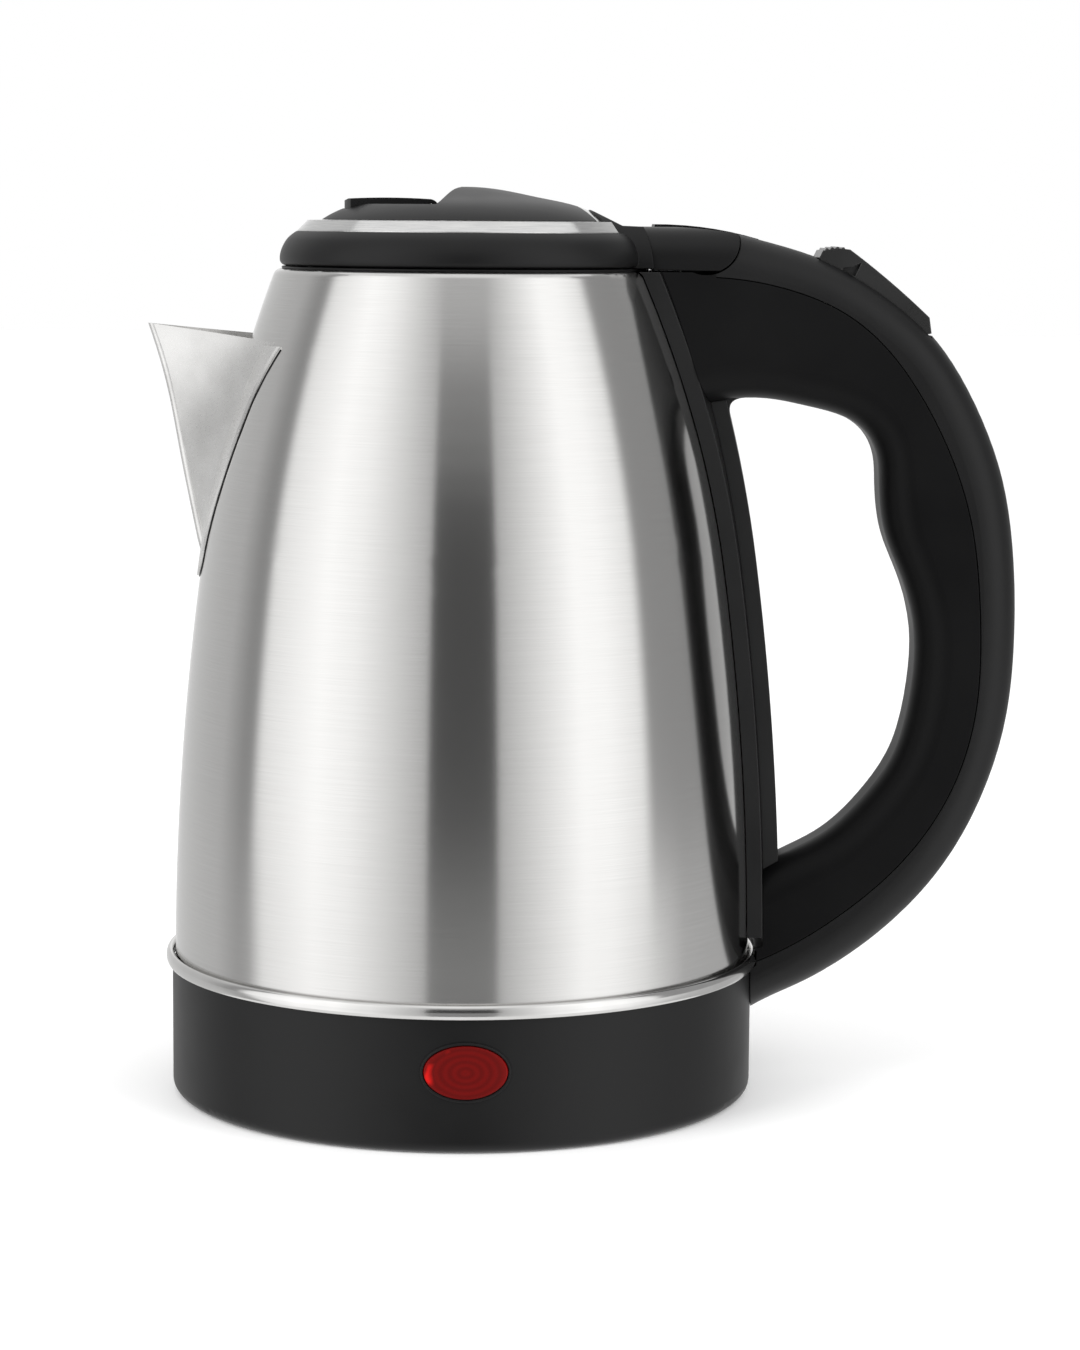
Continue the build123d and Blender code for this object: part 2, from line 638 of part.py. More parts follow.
def lid_plug():
    cup = ring(36.4, PLUG_R, PLUG_Z, LID_Z - 0.05) + ring(0, 37, PLUG_Z, PLUG_Z + PLUG_FLOOR)
    cup -= ring(38.8, PLUG_R + 1, 208.4, 210.6)
    for i in range(BOSS_COUNT):
        cup += post(*boss_at(i), 3.4, PLUG_Z + 1, LID_Z - 0.05)
        cup -= post(*boss_at(i), LID_SCREW_R + 0.2, 200, 215)
        cup -= post(*boss_at(i), 2.6, 202, PLUG_Z + 1)
    cup -= block((-45, -5.3, LATCH_Z - 0.3), (-35, 5.3, LATCH_Z + LATCH_T + 0.3))
    cup += [block((-34, side * 6.4 - 0.8, 204.0), (-14, side * 6.4 + 0.8, 208.2)) for side in (-1, 1)]
    cup += block((-1.9, -4, 204.0), (0.0, 4, 211.5))
    for i in range(7):
        cup -= block((2.0 + 3.6 * i, -11, 202), (3.6 + 3.6 * i, 11, 205))
    return cup


def lid_gasket():
    edges = chain([(38.9, 208.5), (40.2, 208.5)]) + [arc((40.2, 208.5), (41.1, 209.5), (40.2, 210.5))]
    edges += chain([(40.2, 210.5), (38.9, 210.5), (38.9, 208.5)])
    return turned(loop(edges))


def lid_screws():
    screws = []
    for i in range(BOSS_COUNT):
        x, y = boss_at(i)
        head = post(x, y, 2.4, 202.9, 203.9) - post(x, y, 0.9, 202, 203.4)
        screws.append(head + post(x, y, LID_SCREW_R, 203.8, 216.5))
    return Compound(children=[s.solid() for s in screws])


def neck_loaf():
    return loaf(YOKE_HW, 214.6, 222.3, 9.5)


def lid_yoke():
    edges = [arc(*NECK_LINE)]
    low_end = (HINGE_X + sqrt(YOKE_R**2 - (HINGE_Z - YOKE_UNDER_Z) ** 2), YOKE_UNDER_Z)
    top_end = (HINGE_X + sqrt(YOKE_R**2 - 1.5**2), HINGE_Z + 1.5)
    edges += [line(NECK_LINE[2], low_end), arc(low_end, (HINGE_X + YOKE_R, HINGE_Z), top_end)]
    edges += [arc(top_end, (58, 222.0), NECK_LINE[0])]
    body = prism(loop(edges), 30) & neck_loaf()
    body -= bar_y(HINGE_X, HINGE_Z, TONGUE_R + GAP, -TONGUE_HW - GAP, TONGUE_HW + GAP)
    body -= block((HINGE_X, -TONGUE_HW - GAP, 205), (80, TONGUE_HW + GAP, 230))
    pin_hl = HINGE_PIN_HL + 0.3
    return body - bar_y(HINGE_X, HINGE_Z, HINGE_R + FIT, -pin_hl, pin_hl) - lid_round()


def lid_hinge_pin():
    return bar_y(HINGE_X, HINGE_Z, HINGE_R, -HINGE_PIN_HL, HINGE_PIN_HL)


def mouth_collar():
    """Plastic collar in the steel mouth, with an undercut that the latch reaches into."""
    top = BODY_TOP + 0.45
    rim = [(COLLAR_BORE, top), (45.6, top), (45.6, BODY_TOP + 0.02), (COLLAR_R, BODY_TOP + 0.02)]
    clip = [(COLLAR_R, 210.3), (COLLAR_R + 0.7, 209.8), (COLLAR_R, 209.0), (COLLAR_R, 200.0)]
    deep = COLLAR_BORE + 0.8
    groove = [(COLLAR_BORE, 200.0), (COLLAR_BORE, 203.5), (deep, 204.3), (deep, 207.7), (COLLAR_BORE, 208.5)]
    return turned(polygon(rim + clip + groove))


# ---- Handle cover's tongue, rocker and switch ----
def tongue():
    edges = chain([(72, 210.1), (54.6, 210.1), (54.6, 211.6), (46, 211.6), (46, 222.9)])
    edges += [arc((46, 222.9), (58, 222.5), (74, 219.4)), line((74, 219.4), (72, 210.1))]
    front = bar_y(HINGE_X, HINGE_Z, TONGUE_R, -20, 20) + block((HINGE_X, -20, 200), (90, 20, 240))
    return prism(loop(edges), TONGUE_HW) & front


def on_slope(along, up):
    """Point in the handle's sloping top: along it from the rocker's pivot, and up from it."""
    lean = radians(ROCKER_SLOPE)
    return (
        ROCKER_PIN[0] + along * cos(lean) + up * sin(lean),
        ROCKER_PIN[1] - along * sin(lean) + up * cos(lean),
    )


def slope_polygon(points):
    return polygon([on_slope(*p) for p in points])


def rocker_well():
    return prism(slope_polygon([(-19.3, -7.0), (17.0, -7.0), (17.0, 14.0), (-19.3, 14.0)]), ROCKER_HW + GAP)


def power_rocker():
    under = chain([on_slope(*p) for p in [(16.2, 0.6), (12.0, -3.6), (-13.0, -3.6), (-18.2, 1.6)]])
    nose = [on_slope(*p) for p in [(-18.2, 1.6), (-18.4, 3.5), (-15.8, 5.9), (-12.7, 7.4)]]
    top = [line(nose[1], nose[2]), line(nose[0], nose[1]), line(nose[2], nose[3])]
    back = [on_slope(*p) for p in [(-12.7, 7.4), (1.0, 5.9), (13.6, 3.7), (16.2, 0.6)]]
    back_edges = [arc(back[0], back[1], back[2]), line(back[2], back[3])]
    body = prism(loop(under + top + back_edges), ROCKER_HW)
    for along, up in ROCKER_RIDGES:
        body += bar_y(*on_slope(along, up), ROCKER_RIDGE_R, -ROCKER_HW + 0.6, ROCKER_HW - 0.6)
    notch = polygon(ROCKER_NOTCH)
    body -= plate(notch, -ROCKER_HW - 1, -ROCKER_HW + ROCKER_NOTCH_DEPTH)
    body -= plate(notch, ROCKER_HW - ROCKER_NOTCH_DEPTH, ROCKER_HW + 1)
    return body - bar_y(*ROCKER_PIN, ROCKER_PIN_R + FIT, -20, 20)


def rocker_pin():
    return bar_y(*ROCKER_PIN, ROCKER_PIN_R, -ROCKER_PIN_HL, ROCKER_PIN_HL)


def slope_rod(along, r, low, high):
    """A round rod standing square to the handle's sloping top."""
    a = on_slope(along, low)
    b = on_slope(along, high)
    middle = ((a[0] + b[0]) / 2, 0, (a[1] + b[1]) / 2)
    return Pos(*middle) * Rot(0, ROCKER_SLOPE, 0) * Cylinder(r, high - low)


def switch_plunger():
    return slope_rod(PLUNGER_ALONG, PLUNGER_R, -13.0, -3.95) + slope_rod(PLUNGER_ALONG, 2.4, -8.8, -7.9)


def steam_switch():
    case = prism(slope_polygon([(-14, -21), (8, -21), (8, -10.5), (-14, -10.5)]), 8.5)
    case -= slope_rod(PLUNGER_ALONG, PLUNGER_R + 0.08, -16, -5)
    case -= prism(slope_polygon([(-15, -19), (-12, -19), (-12, -12.5), (-15, -12.5)]), 6.5)
    return case


def steam_bimetal():
    a = on_slope(-12.9, -15.8)
    return Pos(a[0], 0, a[1]) * Rot(0, 90 + ROCKER_SLOPE, 0) * Cylinder(3.1, 0.5)


def steam_tube():
    tube = Pos(66.0, 0, STEAM_Z) * Rot(0, 90, 0) * Cylinder(STEAM_R, 29.0)
    bore = Pos(66.0, 0, STEAM_Z) * Rot(0, 90, 0) * Cylinder(STEAM_R - 1.0, 40.0)
    return tube - bore


def handle_screw(x, y, z):
    """Pan-head screw along X, its tip in the welded bracket."""
    shaft = Pos(x - HANDLE_SCREW_L / 2, y, z) * Rot(0, 90, 0) * Cylinder(HANDLE_SCREW_R, HANDLE_SCREW_L)
    head = Pos(x + 0.9, y, z) * Rot(0, 90, 0) * Cylinder(3.0, 1.8)
    return shaft + head


def handle_screws():
    screws = [handle_screw(*p) for p in UPPER_SCREWS + LOWER_SCREWS]
    return Compound(children=[s.solid() for s in screws])


def screw_room(grow):
    hole = Rot(0, 90, 0) * Cylinder(HANDLE_SCREW_R + grow, 2 * HANDLE_SCREW_L)
    return [Pos(x - 1, y, z) * hole for x, y, z in UPPER_SCREWS + LOWER_SCREWS]


def bracket(outline):
    return spine_strip(0.0, BRACKET_T, outline) - screw_room(0.0)


def upper_bracket():
    return bracket(UPPER_BRACKET) - block((40, -5, 190), (80, 5, 210))


def lower_bracket():
    return bracket(LOWER_BRACKET)


def wire_room():
    return Pos(76, 0, WIRE_Z) * Rot(0, 90, 0) * Cylinder(3.0, 10)


def wall_tools():
    """Pockets and holes through the spine: brackets, steam tube and screws."""
    pockets = []
    for low, middle, high in (UPPER_BRACKET, LOWER_BRACKET):
        outline = [(low[0] + 0.3, low[1] - 0.2), (middle[0] + 0.3, middle[1]), (high[0] + 0.3, high[1] + 0.2)]
        pockets.append(spine_strip(0.0, BRACKET_T + 0.1, outline))
    tube_room = Pos(60, 0, STEAM_Z) * Rot(0, 90, 0) * Cylinder(STEAM_R + 0.1, 30)
    return pockets + [tube_room] + screw_room(0.1)


def handle_shell():
    """The solid handle, and the same handle hollowed, still in one piece."""
    outer = handle_blank(0) - keep_out(0.15, SPINE_1 + 0.02)
    hollow = handle_blank(WALL) - keep_out(WALL + 0.15, SPINE_1 + WALL)
    return outer, outer - hollow


def spine_frame():
    strip = spine_strip(0.15, SPINE_1, SPINE_OUTLINE)
    for tool in wall_tools():
        strip = largest(strip - tool)
    return strip


def handle_grip():
    shell = handle_shell()[1]
    grip = largest(largest(shell & inner_side(SEAM_FIT)) - yoke_room())
    for tool in wall_tools()[2:] + seam_grooves():
        grip = largest(grip - tool)
    return grip


def handle_cover():
    outer, shell = handle_shell()
    inside = inner_side(0)
    cover = largest(largest(shell - inside) - yoke_room())
    cover = largest(cover + tongue())
    rim = prism(slope_polygon([(-21.0, -6.0), (19.0, -6.0), (19.0, 12.0), (-21.0, 12.0)]), ROCKER_HW + 2.4)
    cover = largest(cover + largest((rim & outer) - inside))
    rocker_shaft = bar_y(*ROCKER_PIN, ROCKER_PIN_R, -ROCKER_PIN_HL - 0.1, ROCKER_PIN_HL + 0.1)
    for tool in [rocker_well(), rocker_shaft, lid_hinge_pin(), wire_room()]:
        cover = largest(cover - tool)
    return cover


def spine_cover():
    return largest(spine_strip(SPINE_1 + 0.02, SPINE_2, SPINE_COVER_OUTLINE) - handle_blank(-0.1))


# ---- Inside the foot ----
def boiler_floor():
    top = FLOOR_Z + STEEL_T
    return turned(polygon([(0, top), (73.1, top), (73.1, 35.0), (72.3, 35.0), (72.3, FLOOR_Z), (0, FLOOR_Z)]))


def housing_seal():
    return ring(70.8, 72.2, HOUSING_H, 36.0)


def heat_plate():
    plate_body = ring(0, 58, PLATE_Z, FLOOR_Z - 0.05)
    plate_body += [post(*p, 2.6, 28.1, 38) for p in CONTROL_SCREWS]
    return plate_body - [post(*p, CONTROL_SCREW_R, 27, 36) for p in CONTROL_SCREWS]


def heating_element():
    circle = Pos(ELEMENT_R, 0, PLATE_Z - ELEMENT_TUBE) * Rot(90, 0, 0) * Circle(ELEMENT_TUBE)
    tube = revolve(circle.face(), Axis.Z, revolution_arc=360 - 2 * ELEMENT_GAP)
    return Rot(0, 0, ELEMENT_GAP) * tube


def element_terminals():
    turn = radians(ELEMENT_GAP + 4)
    z = PLATE_Z - 2 * ELEMENT_TUBE
    pins = []
    for side in (-1, 1):
        x, y = ELEMENT_R * cos(turn), side * ELEMENT_R * sin(turn)
        pins.append(post(x, y, 1.8, 27, z) + post(x, y, 0.9, 18, 27.5))
    return Compound(children=[p.solid() for p in pins])


def thermal_control():
    low = COVER_Z
    body = post(0, 0, CONTROL_R, low, 26.0)
    body += [post(*p, 4.0, 24.0, 28.0) + block_between(p) for p in CONTROL_SCREWS]
    body -= post(0, 0, SOCKET_R, low - 1, low + SOCKET_LENGTH)
    body -= post(0, 0, SOCKET_R - 0.6, low, 16.0)
    body += post(0, 0, 8.2, CONTACT_Z, 17) - post(0, 0, 6.6, CONTACT_Z - 1, 17)
    body -= contact_rings()
    body -= post(0, 0, EARTH_R, CONTACT_Z, 18)
    body -= [post(*p, 1.5, 20, 30) for p in CONTROL_SCREWS]
    return body


def block_between(p):
    """Web from the control's case to one of its ears."""
    angle = degrees(asin(p[1] / CONTROL_PCR)) if p[0] > 0 else 180
    return Rot(0, 0, angle) * block((15, -3.5, 24.0), (CONTROL_PCR, 3.5, 26.0))


def contact_rings():
    return [ring(*radii, CONTACT_Z, 19) for radii in CONTACT_RINGS]


def socket_contacts():
    return Compound(children=[c.solid() for c in contact_rings()])


def earth_pin():
    return post(0, 0, EARTH_R, CONTACT_Z + 0.6, 18) + Pos(0, 0, CONTACT_Z + 0.6) * Sphere(EARTH_R)


def bimetal_discs():
    discs = [post(0, side * 10.5, 8.0, 26.05, 26.55) for side in (-1, 1)]
    return Compound(children=[d.solid() for d in discs])


def control_screws():
    screws = [post(*p, CONTROL_SCREW_R, 22.5, 34) + post(*p, 2.4, 22.0, 23.95) for p in CONTROL_SCREWS]
    return Compound(children=[s.solid() for s in screws])


def bottom_cover():
    plate_body = ring(21.3, COVER_R, COVER_Z, COVER_Z + COVER_T - 0.02)
    plate_body -= around(post(SCREW_PCR, 0, SCREW_R + 0.15, 0, 5), SCREW_COUNT, 30)
    plate_body -= around(post(SCREW_PCR, 0, SCREW_HEAD_R + 0.2, 0, COVER_Z + 1.2), SCREW_COUNT, 30)
    slot = block((36, -1.2, 0), (48, 1.2, 5))
    return plate_body - around(slot, 6, 0)


def bottom_screws():
    head = post(SCREW_PCR, 0, SCREW_HEAD_R, COVER_Z, COVER_Z + 1.2)
    slot = block((SCREW_PCR - 1.6, -0.4, 0), (SCREW_PCR + 1.6, 0.4, COVER_Z + 0.6))
    cross = block((SCREW_PCR - 0.4, -1.6, 0), (SCREW_PCR + 0.4, 1.6, COVER_Z + 0.6))
    screw = head + post(SCREW_PCR, 0, SCREW_R, COVER_Z + 1, 11.5) - slot - cross
    return Compound(children=[s.solid() for s in around(screw, SCREW_COUNT, 30)])


def lamp_holder():
    holder = block((LENS_X - 12, -69.6, LENS_Z - 5), (LENS_X + 12, -61.5, LENS_Z + 5))
    return holder - block((LENS_X - 9, -71, LENS_Z - 3.2), (LENS_X + 9, -63.5, LENS_Z + 3.2))


def indicator_lamp():
    bulb = Pos(LENS_X, -66.4, LENS_Z) * Rot(0, 90, 0) * Cylinder(2.6, 15)
    return fillet(bulb.edges(), 1.0)


def wire(y):
    """Insulated wire from the steam switch down the handle into the foot."""
    path = FilletPolyline(*[at(p, y) for p in WIRE_ROUTE], radius=8.0)
    start = Plane(origin=path @ 0, z_dir=path % 0)
    return sweep((start * Circle(WIRE_R)).face(), path=path)


def live_wire():
    return wire(-1.7)


def neutral_wire():
    return wire(1.7)


PARTS = [
    body_shell, spout, foot_ring, mouth_collar, boiler_floor, heat_plate, heating_element, element_terminals,
    thermal_control, socket_contacts, earth_pin, bimetal_discs, control_screws, bottom_housing, housing_seal,
    bottom_cover, bottom_screws, indicator_lens, indicator_lamp, lamp_holder, spine_frame, spine_cover,
    upper_bracket, lower_bracket, handle_screws, handle_grip, handle_cover, steam_tube, steam_switch,
    steam_bimetal, live_wire, neutral_wire, rocker_pin, switch_plunger, power_rocker, lid_hinge_pin, lid_ring,
    lid_trim, lid_cap, lid_tab, tab_pin, lid_latch, latch_spring, lid_plug, lid_gasket, lid_screws, lid_yoke,
]

if __name__ == "__main__":
    os.makedirs("parts", exist_ok=True)
    made = {make.__name__: make() for make in PARTS}
    for name, shape in made.items():
        export_step(shape, f"parts/{name}.step")
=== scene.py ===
"""Looks of the cordless electric kettle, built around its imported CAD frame. Metres, +Z up."""

import json
import math

import bmesh
import bpy
from mathutils import Matrix, Vector
from mathutils.geometry import intersect_line_line_2d


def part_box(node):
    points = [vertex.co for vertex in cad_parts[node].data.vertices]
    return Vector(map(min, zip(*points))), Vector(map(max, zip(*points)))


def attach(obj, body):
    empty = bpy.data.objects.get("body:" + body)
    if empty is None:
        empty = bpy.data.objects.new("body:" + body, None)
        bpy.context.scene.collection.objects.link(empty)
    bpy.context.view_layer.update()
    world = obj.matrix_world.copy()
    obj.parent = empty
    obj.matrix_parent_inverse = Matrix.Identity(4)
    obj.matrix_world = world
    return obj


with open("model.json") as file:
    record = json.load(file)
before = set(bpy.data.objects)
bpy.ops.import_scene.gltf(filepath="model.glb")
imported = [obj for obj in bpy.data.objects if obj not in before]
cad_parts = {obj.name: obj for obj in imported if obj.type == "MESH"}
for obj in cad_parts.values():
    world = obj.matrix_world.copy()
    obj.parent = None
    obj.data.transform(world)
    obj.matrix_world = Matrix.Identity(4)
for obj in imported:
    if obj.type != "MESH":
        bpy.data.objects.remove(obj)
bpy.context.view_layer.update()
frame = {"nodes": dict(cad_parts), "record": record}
nodes = frame["nodes"]

MM = 0.001

# Places read from the frame
lens_low, lens_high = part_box("indicator_lens")
lens_centre = (lens_low + lens_high) / 2
lens_half = (lens_high - lens_low) / 2
housing_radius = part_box("bottom_housing")[1].x

# Camera: place in metres, turns in degrees
CAMERA_DISTANCE = 0.920
CAMERA_HEIGHT = 0.225
CAMERA_DOWN = 7.29
CAMERA_RIGHT = 1.23
CAMERA_ROLL = 0.43
CAMERA_LENS_MM = 95.86
SENSOR_MM = 36

# Floor and soft boxes
FLOOR_HALF = 6.0
FLOOR_GLOW = 0.09
SOFT_BOX_TARGET = (0, 0, 0.1)
SOFT_BOX_SIZE = (0.9, 1.2)
LEFT_BOX_PLACE = (-1.3, -1.1, 1.3)
LEFT_BOX_POWER = 18
RIGHT_BOX_PLACE = (1.3, -1.0, 1.2)
RIGHT_BOX_POWER = 14

# Light tent: sheets bent round the Z axis, the nearer ones a little inside the tent
TENT_RADIUS = 2.2
TENT_HEIGHT = 2.6
TENT_LOW = -1.6
TENT_STEPS = 96
LOW_PART_RADIUS = TENT_RADIUS * 0.98
LOW_PART_TOP = -0.17
CARD_RADIUS = TENT_RADIUS * 0.96
CARD_STEPS = 12
CARD_ANGLE = 13.5       # the dark cards at the front reach this far to each side, in degrees
# Each dark card's low edge, high edge and brightness
CARDS = [(0.97, 1.50, 0.26), (-0.15, 0.95, 0.08), (TENT_LOW, LOW_PART_TOP, 0.30)]
# Brightness of the tent, as (degrees from the front towards +X, level)
TENT_LEVELS = [
    (-180, 1.00), (-160, 0.72), (-112, 0.58), (-98, 0.34), (-93, 0.34), (-88, 1.15),
    (-60, 1.52), (-45, 1.35), (-14, 0.62), (14, 0.62), (48, 1.50), (60, 1.46),
    (76, 1.20), (81, 0.36), (104, 0.36), (135, 0.45), (160, 0.72), (180, 1.00),
]
# The same for its part below floor level, which the foot of the wall mirrors
LOW_LEVELS = [
    (-180, 1.00), (-160, 0.72), (-112, 0.62), (-98, 0.46), (-91, 0.50), (-84, 1.10),
    (-60, 1.40), (-45, 1.25), (-14, 0.62), (14, 0.62), (48, 1.40), (60, 1.36),
    (72, 1.15), (84, 0.92), (97, 0.62), (112, 0.56), (135, 0.52), (180, 1.00),
]

# Finishes: depth of bumps and radius of softened edges, in metres
STREAK_DEPTH = 0.00008
GRAIN_DEPTH = 0.00006
SKIN_DEPTH = 0.0001
METAL_EDGE = 0.0006
PLASTIC_EDGE = 0.0004
SILICONE_DEPTH = 0.004       # how far light goes into the silicone
INSIDE_ROUGHER = 0.18        # the steel's inside is rougher by this, and less metallic
INSIDE_METALLIC = 0.5

# Lens bezel: an oval bead round the part of the lens that shows, inside its hidden lip
LENS_LIP = 1.6 * MM
BEZEL_GROW = 0.35 * MM
BEZEL_PROUD = 0.05 * MM
BEZEL_HALF_THICK = 0.42 * MM
BEZEL_POINTS = 72

# The spout's flange seen along X, one half, as (y, z) in millimetres, a little outside its edge
FLANGE_EDGE = [
    (0, 132.4), (9.4, 134.9), (13.5, 143.8), (18.7, 155.8), (23.3, 168.8), (26.5, 180.1), (30.9, 191.6)
]
FLANGE_STEPS = 8
FLANGE_HALF_THICK = 0.26 * MM
FLANGE_RAY_X = -0.2

# Level marks on the inside of the wall: heights in metres, angles in degrees from +X
MARK_HEIGHTS = [0.075, 0.110, 0.145, 0.165]
MARK_MIDDLE = -90.0
MARK_HALF_ANGLE = 7.0
MARK_HALF_STEPS = 4
MARK_HALF_THICK = 0.4 * MM

# Dark bead round the mouth: painted shade in the gap under the lid's ring
BEAD_RADIUS = 46.3 * MM
BEAD_HEIGHT = 211.5 * MM
BEAD_HALF_THICK = 0.33 * MM
BEAD_POINTS = 120

# The front end of the handle's seam seen along Y, as (x, z) in millimetres
SEAM_LINE = [(66, 209.8), (70, 209.4), (74, 208.7), (78, 207.8), (82, 206.8), (86, 205.6)]
SEAM_STEPS = 4
LIP_Y = 13.0 * MM
LIP_HALF_THICK = 0.7 * MM

# Fillet under the handle's root
FILLET_REACH = 4.5 * MM
FILLET_HALF_WIDTH = 8.6 * MM
FILLET_SINK = 0.8 * MM       # how far it is let into the pieces that it joins
FILLET_STEPS = 12
FILLET_STATIONS = 16
FINGER_GAP_X = 0.10          # places inside the finger gap, from which its sides are looked for
FINGER_GAP_Z = 0.15
SPINE_HIGH_Z = 0.174         # a height just below the gap's top

TUBE_SIDES = 10
TUBE_HINT = Vector((0.31, 0.17, 0.94))       # a direction that no bead runs along


# ---------------------------------------------------------------- material kit


class Shader:
    """A node material around one Principled shader, with short calls for its usual nodes."""

    def __init__(self, name, colour, roughness, metallic=0.0, **sockets):
        self.material = bpy.data.materials.new(name)
        self.material.use_nodes = True
        self.tree = self.material.node_tree
        self.main = self.tree.nodes["Principled BSDF"]
        self.set("Base Color", (*colour, 1.0))
        self.set("Roughness", roughness)
        self.set("Metallic", metallic)
        for socket, value in sockets.items():
            self.set(socket.replace("_", " "), value)
        self.place = self.node("ShaderNodeTexCoord").outputs["Object"]

    def set(self, socket, value):
        self.main.inputs[socket].default_value = value

    def node(self, kind, **settings):
        made = self.tree.nodes.new(kind)
        for key, value in settings.items():
            setattr(made, key, value)
        return made

    def link(self, source, target):
        self.tree.links.new(source, target)

    def math(self, operation, a, b=None):
        made = self.node("ShaderNodeMath", operation=operation)
        for socket, value in zip(made.inputs, (a, b)):
            if isinstance(value, (int, float)):
                socket.default_value = value
            elif value is not None:
                self.link(value, socket)
        return made.outputs[0]

    def scaled(self, scale, vector=None):
        made = self.node("ShaderNodeMapping")
        made.inputs["Scale"].default_value = scale
        self.link(vector or self.place, made.inputs["Vector"])
        return made.outputs["Vector"]

    def noise(self, vector, scale=1.0, detail=3.0, roughness=0.5):
        made = self.node("ShaderNodeTexNoise")
        made.inputs["Scale"].default_value = scale
        made.inputs["Detail"].default_value = detail
        made.inputs["Roughness"].default_value = roughness
        self.link(vector, made.inputs["Vector"])
        return made.outputs["Fac"]

    def ramp(self, value, low, high, start=0.3, end=0.7):
        made = self.node("ShaderNodeMapRange")
        made.inputs["From Min"].default_value = start
        made.inputs["From Max"].default_value = end
        made.inputs["To Min"].default_value = low
        made.inputs["To Max"].default_value = high
        self.link(value, made.inputs["Value"])
        return made.outputs["Result"]

    def blend(self, factor, first, second):
        made = self.node("ShaderNodeMix", data_type="RGBA")
        self.link(factor, made.inputs["Factor"])
        made.inputs[6].default_value = (*first, 1.0)
        made.inputs[7].default_value = (*second, 1.0)
        return made.outputs[2]

    def bump(self, height, strength, distance, after=None):
        made = self.node("ShaderNodeBump")
        made.inputs["Strength"].default_value = strength
        made.inputs["Distance"].default_value = distance
        self.link(height, made.inputs["Height"])
        if after is not None:
            self.link(after, made.inputs["Normal"])
        self.link(made.outputs["Normal"], self.main.inputs["Normal"])
        return made.outputs["Normal"]

    def round_edges(self, radius):
        made = self.node("ShaderNodeBevel", samples=4)
        made.inputs["Radius"].default_value = radius
        return made.outputs["Normal"]

    def cylinder_place(self):
        """(angle about Z in radians, height): its seam is at +X, behind the handle."""
        split = self.node("ShaderNodeSeparateXYZ")
        self.link(self.scaled((-1, -1, 1)), split.inputs[0])
        angle = self.math("ARCTAN2", split.outputs["Y"], split.outputs["X"])
        joined = self.node("ShaderNodeCombineXYZ")
        self.link(angle, joined.inputs["X"])
        self.link(split.outputs["Z"], joined.inputs["Z"])
        return joined.outputs[0]

    def faces_axis(self):
        """1 where the surface looks towards the Z axis, as inside the kettle, and 0 outside."""
        coordinates = self.node("ShaderNodeTexCoord")
        outward = self.node("ShaderNodeVectorMath", operation="NORMALIZE")
        self.link(self.scaled((1, 1, 0)), outward.inputs[0])
        facing = self.node("ShaderNodeVectorMath", operation="DOT_PRODUCT")
        self.link(coordinates.outputs["Normal"], facing.inputs[0])
        self.link(outward.outputs[0], facing.inputs[1])
        return self.ramp(facing.outputs["Value"], 1, 0, -0.4, -0.2)


def brushed_steel(name, dark, light, rough_low, rough_high, lines_per_m=9000, streak=3.0, bump=0.012):
    """Steel brushed round the Z axis: fine level lines that fade along their length."""
    s = Shader(name, light, rough_low, metallic=1.0, Anisotropic=0.75)
    s.set("Anisotropic Rotation", 0.25)
    tangent = s.node("ShaderNodeTangent", direction_type="RADIAL", axis="Z")
    s.link(tangent.outputs[0], s.main.inputs["Tangent"])
    round_place = s.cylinder_place()
    fine = s.noise(s.scaled((streak, 1, lines_per_m), round_place), detail=4, roughness=0.65)
    broad = s.noise(s.scaled((streak * 0.7, 1, lines_per_m * 0.12), round_place), detail=3)
    lines = s.math("ADD", s.math("MULTIPLY", fine, 0.85), s.math("MULTIPLY", broad, 0.15))
    s.link(s.blend(s.ramp(lines, 0, 1, 0.35, 0.65), dark, light), s.main.inputs["Base Color"])
    inside = s.faces_axis()
    rougher = s.math("MULTIPLY", inside, INSIDE_ROUGHER)
    s.link(s.math("ADD", s.ramp(lines, rough_high, rough_low), rougher), s.main.inputs["Roughness"])
    s.link(s.ramp(inside, 1.0, INSIDE_METALLIC, 0, 1), s.main.inputs["Metallic"])
    s.bump(fine, bump, STREAK_DEPTH, after=s.round_edges(METAL_EDGE))
    return s.material


def plain_metal(name, dark, light, rough_low, rough_high, grain=900, bump=0.08, metallic=1.0):
    """Drawn or pressed sheet metal: faint mottling, no brushing."""
    s = Shader(name, light, rough_low, metallic=metallic)
    mottle = s.noise(s.place, scale=grain, detail=4)
    cloud = s.noise(s.place, scale=grain * 0.06, detail=2)
    s.link(s.blend(s.ramp(cloud, 0, 1), dark, light), s.main.inputs["Base Color"])
    s.link(s.ramp(mottle, rough_low, rough_high), s.main.inputs["Roughness"])
    s.bump(mottle, bump, GRAIN_DEPTH)
    return s.material


def moulded_plastic(name, dark, light, rough_low, rough_high, grain=3200, bump=0.12, specular=0.28):
    """Moulded plastic: a fine spark-eroded grain, slow gloss variation and softened edges."""
    s = Shader(name, light, rough_low)
    s.set("Specular IOR Level", specular)
    cloud = s.noise(s.place, scale=34, detail=3)
    pits = s.noise(s.place, scale=grain, detail=2, roughness=0.6)
    s.link(s.blend(s.ramp(cloud, 0, 1), dark, light), s.main.inputs["Base Color"])
    s.link(s.ramp(cloud, rough_low, rough_high), s.main.inputs["Roughness"])
    s.bump(pits, bump, GRAIN_DEPTH, after=s.round_edges(PLASTIC_EDGE))
    return s.material


